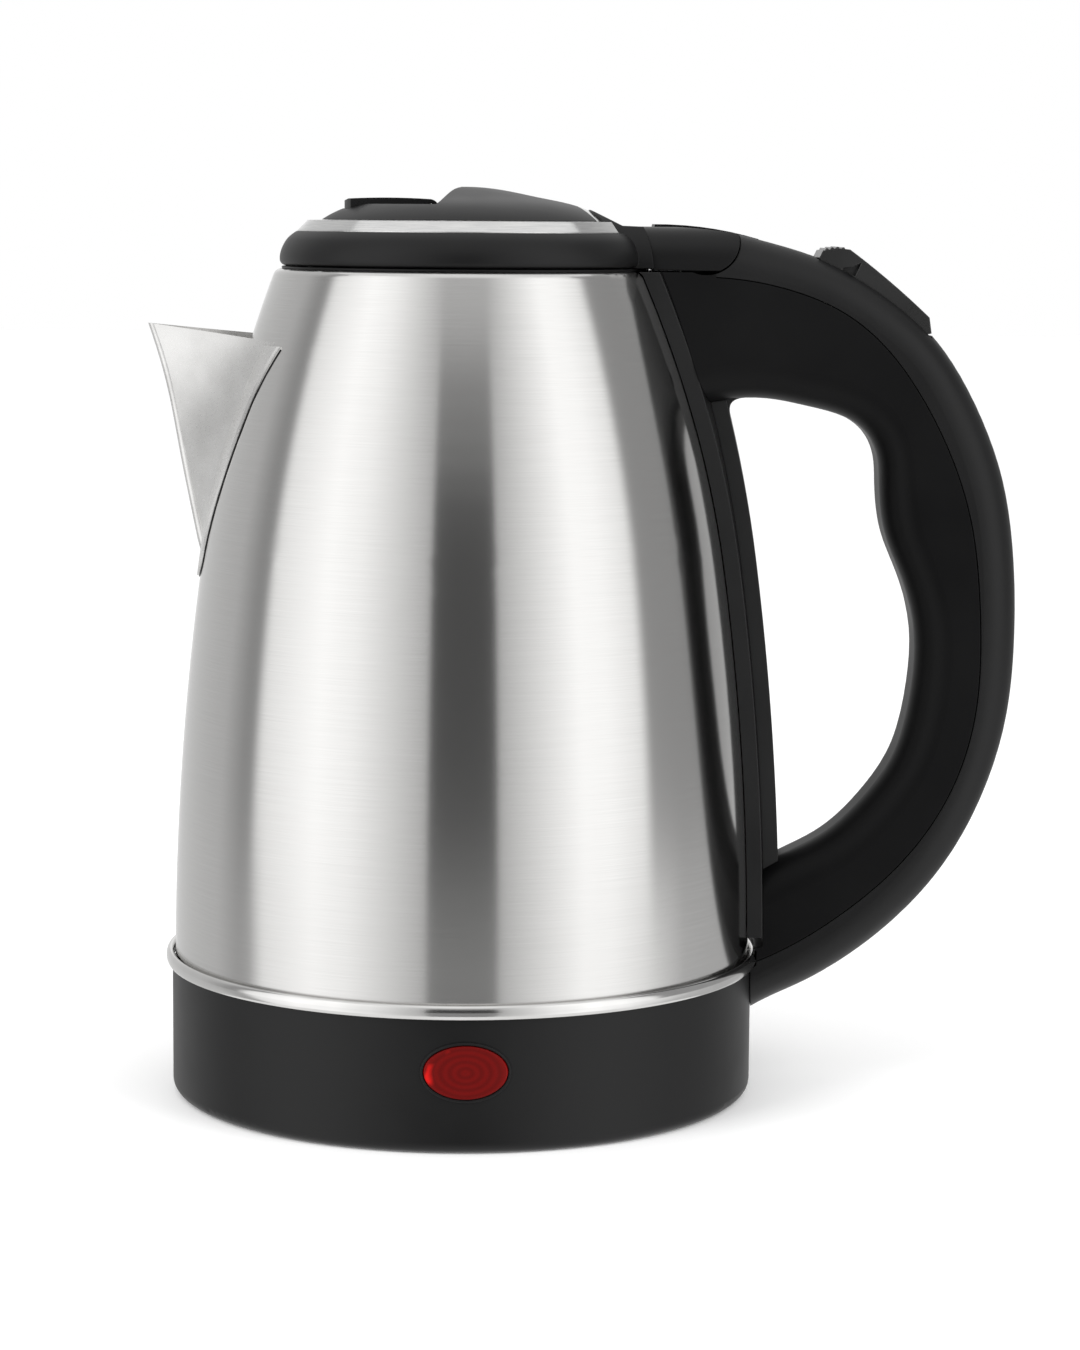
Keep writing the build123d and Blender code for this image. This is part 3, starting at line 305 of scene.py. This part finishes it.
def silicone_rubber(name, colour):
    s = Shader(name, colour, 0.6, Subsurface_Weight=0.15)
    s.set("Subsurface Radius", (SILICONE_DEPTH, SILICONE_DEPTH, SILICONE_DEPTH))
    skin = s.noise(s.place, scale=1500, detail=3)
    s.link(s.blend(s.ramp(skin, 0, 1), [c * 0.85 for c in colour], colour), s.main.inputs["Base Color"])
    s.link(s.ramp(skin, 0.5, 0.7), s.main.inputs["Roughness"])
    s.bump(skin, 0.1, SKIN_DEPTH)
    return s.material


def red_lens(name):
    """Clear red moulding with faint rings about its middle. Its brighter rim and a few bright flecks are
    painted highlights, and the whole lens glows faintly though it is no lamp.
    """
    s = Shader(name, (0.17, 0.007, 0.006), 0.2)
    s.set("Specular IOR Level", 0.08)
    shift = s.node("ShaderNodeMapping")
    shift.inputs["Location"].default_value = (-lens_centre.x / lens_half.x, 0, -lens_centre.z / lens_half.z)
    shift.inputs["Scale"].default_value = (1 / lens_half.x, 0, 1 / lens_half.z)
    s.link(s.place, shift.inputs["Vector"])
    length = s.node("ShaderNodeVectorMath", operation="LENGTH")
    s.link(shift.outputs[0], length.inputs[0])
    radius = length.outputs["Value"]
    rings = s.math("SINE", s.math("MULTIPLY", radius, 34.0))
    # Painted glints: a few bright flecks in a band near the lens's edge.
    painted_glints = s.ramp(s.noise(s.scaled((200, 0, 200)), detail=0), 0, 0.7, 0.58, 0.70)
    band = s.math("MULTIPLY", s.ramp(radius, 0, 1, 0.66, 0.78), s.ramp(radius, 1, 0, 0.82, 0.90))
    # Painted highlight: a brighter ring at the lens's edge.
    rim = s.ramp(radius, 0, 0.30, 0.80, 0.86)
    ripple = s.ramp(rings, 0, 0.045, -1, 1)
    glow = s.math("MAXIMUM", s.math("MAXIMUM", s.math("MULTIPLY", band, painted_glints), rim), ripple)
    # Base colour and emission are brighter at the painted rim highlight and glints, and along the moulded
    # rings; the whole lens glows faintly, painted light though it is no lamp.
    s.link(s.blend(glow, (0.092, 0.004, 0.0035), (0.60, 0.010, 0.008)), s.main.inputs["Base Color"])
    s.link(s.blend(glow, (0.02, 0.0005, 0.0005), (0.75, 0.008, 0.008)), s.main.inputs["Emission Color"])
    s.set("Emission Strength", 0.22)
    s.bump(rings, 0.05, SKIN_DEPTH, after=s.round_edges(METAL_EDGE))
    return s.material


def clear_glass(name):
    s = Shader(name, (0.95, 0.9, 0.85), 0.04, Transmission_Weight=0.9)
    haze = s.noise(s.place, scale=700, detail=2)
    s.link(s.ramp(haze, 0.02, 0.09), s.main.inputs["Roughness"])
    return s.material


def wire_sleeve(name, colour):
    s = Shader(name, colour, 0.4)
    skin = s.noise(s.place, scale=900, detail=2)
    s.link(s.blend(s.ramp(skin, 0, 1), [c * 0.8 for c in colour], colour), s.main.inputs["Base Color"])
    s.link(s.ramp(skin, 0.35, 0.5), s.main.inputs["Roughness"])
    s.bump(skin, 0.08, GRAIN_DEPTH)
    return s.material


BLACK = ((0.0028, 0.0028, 0.003), (0.0046, 0.0046, 0.0048))
MATERIALS = {
    "steel": brushed_steel("brushed steel", (0.615, 0.61, 0.60), (0.665, 0.66, 0.65), 0.155, 0.18),
    "satin_steel": plain_metal(
        "satin steel", (0.63, 0.625, 0.615), (0.71, 0.705, 0.695), 0.26, 0.32,
        grain=1800, bump=0.04, metallic=0.86,
    ),
    "bright_steel": plain_metal(
        "bright steel", (0.66, 0.655, 0.645), (0.72, 0.715, 0.705), 0.10, 0.14, grain=1800, bump=0.02
    ),
    "steel_plain": plain_metal("plain steel", (0.42, 0.42, 0.41), (0.56, 0.56, 0.55), 0.24, 0.36),
    "dark_steel": plain_metal("dark steel", (0.05, 0.05, 0.05), (0.08, 0.08, 0.08), 0.35, 0.45),
    "trim": brushed_steel(
        "bright trim", (0.62, 0.62, 0.62), (0.74, 0.74, 0.73), 0.12, 0.2,
        lines_per_m=3800, streak=5.0, bump=0.05,
    ),
    "aluminium": plain_metal(
        "cast aluminium", (0.48, 0.48, 0.48), (0.62, 0.62, 0.62), 0.35, 0.5, grain=500, bump=0.2
    ),
    "brass": plain_metal("brass", (0.55, 0.36, 0.12), (0.75, 0.52, 0.2), 0.22, 0.34),
    "black_plastic": moulded_plastic("black plastic", *BLACK, 0.38, 0.46),
    "sheen_plastic": moulded_plastic("black sheen plastic", *BLACK, 0.34, 0.40, specular=0.5),
    # Painted shade: a darker, less glossy copy of the black plastic, standing in for the shade on the handle
    # grip.
    "shaded_dull_plastic": moulded_plastic(
        "black shaded dull plastic", (0.0022, 0.0022, 0.0024), (0.0036, 0.0036, 0.0038), 0.40, 0.48, specular=0.13
    ),
    "black_gloss": moulded_plastic(
        "black gloss plastic", (0.006, 0.006, 0.006), (0.009, 0.009, 0.009), 0.24, 0.32,
        grain=5000, bump=0.05, specular=0.8,
    ),
    "white_plastic": moulded_plastic("white plastic", (0.62, 0.61, 0.58), (0.72, 0.71, 0.68), 0.35, 0.45),
    "silicone": silicone_rubber("silicone rubber", (0.42, 0.42, 0.41)),
    "red_lens": red_lens("red lens"),
    "lamp_glass": clear_glass("lamp glass"),
    "wire_red": wire_sleeve("red wire sleeve", (0.45, 0.02, 0.015)),
    "wire_blue": wire_sleeve("blue wire sleeve", (0.02, 0.06, 0.35)),
}

# Nodes whose finish differs a little from the rest of their slot; the grip's darker plastic is painted shade
OWN_FINISH = {
    "spout": "satin_steel",
    "foot_ring": "bright_steel",
    "tab_pin": "dark_steel",
    "spine_cover": "sheen_plastic",
    "spine_frame": "sheen_plastic",
    "handle_grip": "shaded_dull_plastic",
}


def dress_frame():
    """Gives every CAD node the finish of its material slot, or the own finish that OWN_FINISH names for it.
    """
    for part in frame["record"]["subparts"]:
        node = part["node"]
        finish = OWN_FINISH.get(node, part["material_slot"])
        nodes[node].data.materials.clear()
        nodes[node].data.materials.append(MATERIALS[finish])


dress_frame()


# ---------------------------------------------------------------- small pieces


def mesh_object(name, bm):
    mesh = bpy.data.meshes.new(name)
    bm.to_mesh(mesh)
    bm.free()
    obj = bpy.data.objects.new(name, mesh)
    bpy.context.scene.collection.objects.link(obj)
    return obj


def tube(name, path, radius, slot, closed=False):
    """A round bead along a path, riding on the kettle's body."""
    bm = bmesh.new()
    count = len(path)
    rings = []
    for i, point in enumerate(path):
        before = path[i - 1] if closed or i else point
        after = path[(i + 1) % count] if closed or i < count - 1 else point
        along = (after - before).normalized()
        across = along.cross(TUBE_HINT).normalized()
        up = along.cross(across)
        turns = [k * math.tau / TUBE_SIDES for k in range(TUBE_SIDES)]
        spokes = [math.cos(t) * across + math.sin(t) * up for t in turns]
        rings.append([bm.verts.new(point + radius * spoke) for spoke in spokes])
    pairs = list(zip(rings, rings[1:])) + ([(rings[-1], rings[0])] if closed else [])
    for a, b in pairs:
        for k in range(TUBE_SIDES):
            after = (k + 1) % TUBE_SIDES
            bm.faces.new((a[k], a[after], b[after], b[k])).smooth = True
    if not closed:
        bm.faces.new(rings[0][::-1])
        bm.faces.new(rings[-1])
    bmesh.ops.recalc_face_normals(bm, faces=bm.faces)
    obj = mesh_object(name, bm)
    obj.data.materials.append(MATERIALS[slot])
    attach(obj, "kettle")


def smooth_path(points, steps):
    """Catmull-Rom points through the given ones."""
    padded = [points[0]] + list(points) + [points[-1]]
    path = []
    for a, b, c, d in zip(padded, padded[1:], padded[2:], padded[3:]):
        for k in range(steps):
            t = k / steps
            square = (2 * a - 5 * b + 4 * c - d) * t**2
            cube = (3 * b - a - 3 * c + d) * t**3
            path.append(0.5 * (2 * b + (c - a) * t + square + cube))
    return path + [points[-1]]


def on_surface(node, start, direction):
    """Where a straight line from start first meets a CAD node, or None."""
    hit, place, _, _ = nodes[node].ray_cast(start, direction)
    return place if hit else None


def lens_bezel():
    """The dark rim round the indicator lens."""
    radius = housing_radius + BEZEL_PROUD
    path = []
    for k in range(BEZEL_POINTS):
        turn = k * math.tau / BEZEL_POINTS
        x = lens_centre.x + (lens_half.x - LENS_LIP + BEZEL_GROW) * math.cos(turn)
        z = lens_centre.z + (lens_half.z - LENS_LIP + BEZEL_GROW) * math.sin(turn)
        path.append(Vector((x, -math.sqrt(radius**2 - x**2), z)))
    tube("lens_bezel", path, BEZEL_HALF_THICK, "black_plastic", closed=True)


def flange_shadow_lines():
    """A thin black tube along the edge of the spout's flange on the wall: a painted shadow line where the
    flange meets the wall.
    """
    for name, side in (("right", -1), ("left", 1)):
        outline = smooth_path([Vector((0, side * y * MM, z * MM)) for y, z in FLANGE_EDGE], FLANGE_STEPS)
        path = []
        for point in outline:
            place = on_surface("body_shell", Vector((FLANGE_RAY_X, point.y, point.z)), Vector((1, 0, 0)))
            if place is not None:
                path.append(place)
        # Painted shadow line: a black tube standing in for the shade along the flange's edge.
        tube(f"flange_shadow_line_{name}", path, FLANGE_HALF_THICK, "black_plastic")


def level_marks():
    """Plain raised lines on the inside of the wall that show how full the kettle is."""
    for z in MARK_HEIGHTS:
        path = []
        for k in range(-MARK_HALF_STEPS, MARK_HALF_STEPS + 1):
            turn = math.radians(MARK_MIDDLE + MARK_HALF_ANGLE * k / MARK_HALF_STEPS)
            out = Vector((math.cos(turn), math.sin(turn), 0))
            place = on_surface("body_shell", Vector((0, 0, z)), out)
            if place is not None:
                path.append(place)
        tube(f"level_mark_{round(z / MM)}", path, MARK_HALF_THICK, "steel_plain")


def mouth_shade_bead():
    """The thin dark bead round the mouth, painted shade in the gap under the lid's ring. It hides a slit
    beside the lid's yoke that light shows through.
    """
    turns = [k * math.tau / BEAD_POINTS for k in range(BEAD_POINTS)]
    path = [Vector((BEAD_RADIUS * math.cos(t), BEAD_RADIUS * math.sin(t), BEAD_HEIGHT)) for t in turns]
    # Black bead: painted shade under the lid's ring.
    tube("mouth_shade_bead", path, BEAD_HALF_THICK, "black_plastic", closed=True)


def seam_lips():
    """Lips inside the handle. They hide a slit at the front end of the seam between cover and grip."""
    for name, y in (("left", LIP_Y), ("right", -LIP_Y)):
        path = smooth_path([Vector((x * MM, y, z * MM)) for x, z in SEAM_LINE], SEAM_STEPS)
        tube(f"seam_lip_{name}", path, LIP_HALF_THICK, "black_plastic")


def fillet_profile(y):
    """The fillet's closed outline at one place across the handle: its curve first, then its hidden corner."""

    def spine_at(z):
        place = on_surface("spine_cover", Vector((FINGER_GAP_X, y, z)), Vector((-1, 0, 0)))
        return Vector((place.x, place.z))

    def root_at(x):
        place = on_surface("handle_grip", Vector((x, y, FINGER_GAP_Z)), Vector((0, 0, 1)))
        return Vector((place.x, place.z))

    top = root_at(spine_at(SPINE_HIGH_Z).x + FILLET_REACH)
    foot = spine_at(top.y - FILLET_REACH)
    top_way = top - root_at(top.x + FILLET_REACH)
    foot_way = foot - spine_at(foot.y - FILLET_REACH)
    corner = intersect_line_line_2d(top, top + top_way * 3, foot, foot + foot_way * 3)
    steps = [k / FILLET_STEPS for k in range(FILLET_STEPS + 1)]
    curve = [top * (1 - t) ** 2 + 2 * t * (1 - t) * corner + foot * t**2 for t in steps]
    sink = Vector((-FILLET_SINK, 0))
    curve += [foot + sink, corner + sink + Vector((0, FILLET_SINK)), top + Vector((0, FILLET_SINK))]
    return [Vector((point.x, y, point.y)) for point in curve]


def root_fillet():
    """The rounded corner where the spine cover runs up into the underside of the handle's root."""
    bm = bmesh.new()
    places = [FILLET_HALF_WIDTH * (2 * k / FILLET_STATIONS - 1) for k in range(FILLET_STATIONS + 1)]
    rings = [[bm.verts.new(point) for point in fillet_profile(y)] for y in places]
    for near, far in zip(rings, rings[1:]):
        for k in range(len(near)):
            after = (k + 1) % len(near)
            bm.faces.new((near[k], near[after], far[after], far[k])).smooth = k < FILLET_STEPS
    bm.faces.new(rings[0][::-1])
    bm.faces.new(rings[-1])
    bmesh.ops.recalc_face_normals(bm, faces=bm.faces)
    obj = mesh_object("root_fillet", bm)
    obj.data.materials.append(MATERIALS["sheen_plastic"])
    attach(obj, "kettle")


lens_bezel()
flange_shadow_lines()
level_marks()
mouth_shade_bead()
seam_lips()
root_fillet()


# ---------------------------------------------------------------- studio


def emission(name):
    material = bpy.data.materials.new(name)
    material.use_nodes = True
    tree = material.node_tree
    tree.nodes.clear()
    out = tree.nodes.new("ShaderNodeOutputMaterial")
    glow = tree.nodes.new("ShaderNodeEmission")
    tree.links.new(glow.outputs[0], out.inputs["Surface"])
    material.cycles.emission_sampling = "NONE"
    return material, tree, glow


def make_floor():
    bm = bmesh.new()
    corners = [(-1, -1), (1, -1), (1, 1), (-1, 1)]
    bm.faces.new([bm.verts.new((x * FLOOR_HALF, y * FLOOR_HALF, 0)) for x, y in corners])
    floor = mesh_object("floor", bm)
    s = Shader("pale floor", (0.93, 0.93, 0.93), 0.6)
    s.set("Specular IOR Level", 0.2)
    s.set("Emission Color", (1, 1, 1, 1))
    s.set("Emission Strength", FLOOR_GLOW)
    cloud = s.noise(s.place, scale=3, detail=2)
    s.link(s.blend(s.ramp(cloud, 0, 1), (0.92, 0.92, 0.92), (0.94, 0.94, 0.94)), s.main.inputs["Base Color"])
    see_through = s.node("ShaderNodeBsdfTransparent")
    sides = s.node("ShaderNodeMixShader")
    s.link(s.node("ShaderNodeNewGeometry").outputs["Backfacing"], sides.inputs["Fac"])
    s.link(s.main.outputs["BSDF"], sides.inputs[1])
    s.link(see_through.outputs["BSDF"], sides.inputs[2])
    s.link(sides.outputs[0], s.tree.nodes["Material Output"].inputs["Surface"])
    floor.data.materials.append(s.material)
    floor.visible_glossy = False


def curved_sheet(name, radius, start, end, low, high, steps):
    """An upright sheet bent round the Z axis, from start to end degrees, seen only in reflections."""
    bm = bmesh.new()
    columns = []
    for k in range(steps + 1):
        angle = math.radians(start + (end - start) * k / steps)
        x, y = radius * math.sin(angle), -radius * math.cos(angle)
        columns.append((bm.verts.new((x, y, low)), bm.verts.new((x, y, high))))
    for (a, b), (c, d) in zip(columns, columns[1:]):
        bm.faces.new((a, c, d, b))
    sheet = mesh_object(name, bm)
    for ray in ("camera", "diffuse", "shadow", "transmission"):
        setattr(sheet, f"visible_{ray}", False)
    return sheet


def tent_light(name, levels):
    """Light whose brightness changes with the direction round the Z axis."""
    material, tree, glow = emission(name)
    place = tree.nodes.new("ShaderNodeTexCoord")
    split = tree.nodes.new("ShaderNodeSeparateXYZ")
    turn = tree.nodes.new("ShaderNodeMath")
    turn.operation = "ARCTAN2"
    flip = tree.nodes.new("ShaderNodeMath")
    flip.operation = "MULTIPLY"
    flip.inputs[1].default_value = -1.0
    span = tree.nodes.new("ShaderNodeMapRange")
    span.inputs["From Min"].default_value = -math.pi
    span.inputs["From Max"].default_value = math.pi
    ramp = tree.nodes.new("ShaderNodeValToRGB")
    tree.links.new(place.outputs["Object"], split.inputs[0])
    tree.links.new(split.outputs["Y"], flip.inputs[0])
    tree.links.new(split.outputs["X"], turn.inputs[0])
    tree.links.new(flip.outputs[0], turn.inputs[1])
    tree.links.new(turn.outputs[0], span.inputs["Value"])
    tree.links.new(span.outputs["Result"], ramp.inputs[0])
    tree.links.new(ramp.outputs[0], glow.inputs["Color"])
    stops = ramp.color_ramp.elements
    stops.remove(stops[-1])
    top = max(level for _, level in levels)
    for index, (degrees, level) in enumerate(levels):
        where = (degrees + 180) / 360
        stop = stops[0] if index == 0 else stops.new(where)
        stop.position = where
        stop.color = (level / top, level / top, level / top, 1)
    glow.inputs["Strength"].default_value = top
    return material


def make_tent():
    """A tall open cylinder of soft light with dark cards at its front."""
    tent = curved_sheet("light tent", TENT_RADIUS, -180, 180, TENT_LOW, TENT_HEIGHT, TENT_STEPS)
    tent.data.materials.append(tent_light("tent light", TENT_LEVELS))
    low_part = curved_sheet("low tent", LOW_PART_RADIUS, -180, 180, TENT_LOW, LOW_PART_TOP, TENT_STEPS)
    low_part.data.materials.append(tent_light("low tent light", LOW_LEVELS))
    for number, (low, high, level) in enumerate(CARDS):
        name = f"dark card {number}"
        card = curved_sheet(name, CARD_RADIUS, -CARD_ANGLE, CARD_ANGLE, low, high, CARD_STEPS)
        material, _, glow = emission(name)
        glow.inputs["Strength"].default_value = level
        card.data.materials.append(material)


def make_world():
    world = bpy.data.worlds.new("studio")
    bpy.context.scene.world = world
    world.use_nodes = True
    background = world.node_tree.nodes["Background"]
    background.inputs["Color"].default_value = (1, 1, 1, 1)
    background.inputs["Strength"].default_value = 1.0


def soft_box(name, place, power):
    light = bpy.data.lights.new(name, "AREA")
    light.shape = "RECTANGLE"
    light.size, light.size_y = SOFT_BOX_SIZE
    light.energy = power
    obj = bpy.data.objects.new(name, light)
    bpy.context.scene.collection.objects.link(obj)
    obj.location = place
    obj.rotation_euler = (Vector(SOFT_BOX_TARGET) - Vector(place)).to_track_quat("-Z", "Y").to_euler()
    obj.visible_glossy = False


def make_camera():
    data = bpy.data.cameras.new("camera")
    data.lens = CAMERA_LENS_MM
    data.sensor_width = SENSOR_MM
    camera = bpy.data.objects.new("camera", data)
    bpy.context.scene.collection.objects.link(camera)
    camera.location = (0, -CAMERA_DISTANCE, CAMERA_HEIGHT)
    look = Matrix.Rotation(math.radians(-CAMERA_RIGHT), 4, "Z") @ Matrix.Rotation(
        math.radians(90 - CAMERA_DOWN), 4, "X"
    )
    camera.matrix_world = (
        Matrix.Translation(camera.location) @ look @ Matrix.Rotation(math.radians(CAMERA_ROLL), 4, "Z")
    )
    bpy.context.scene.camera = camera


make_floor()
make_tent()
make_world()
soft_box("left soft box", LEFT_BOX_PLACE, LEFT_BOX_POWER)
soft_box("right soft box", RIGHT_BOX_PLACE, RIGHT_BOX_POWER)
make_camera()
bpy.context.scene.view_settings.view_transform = "Standard"
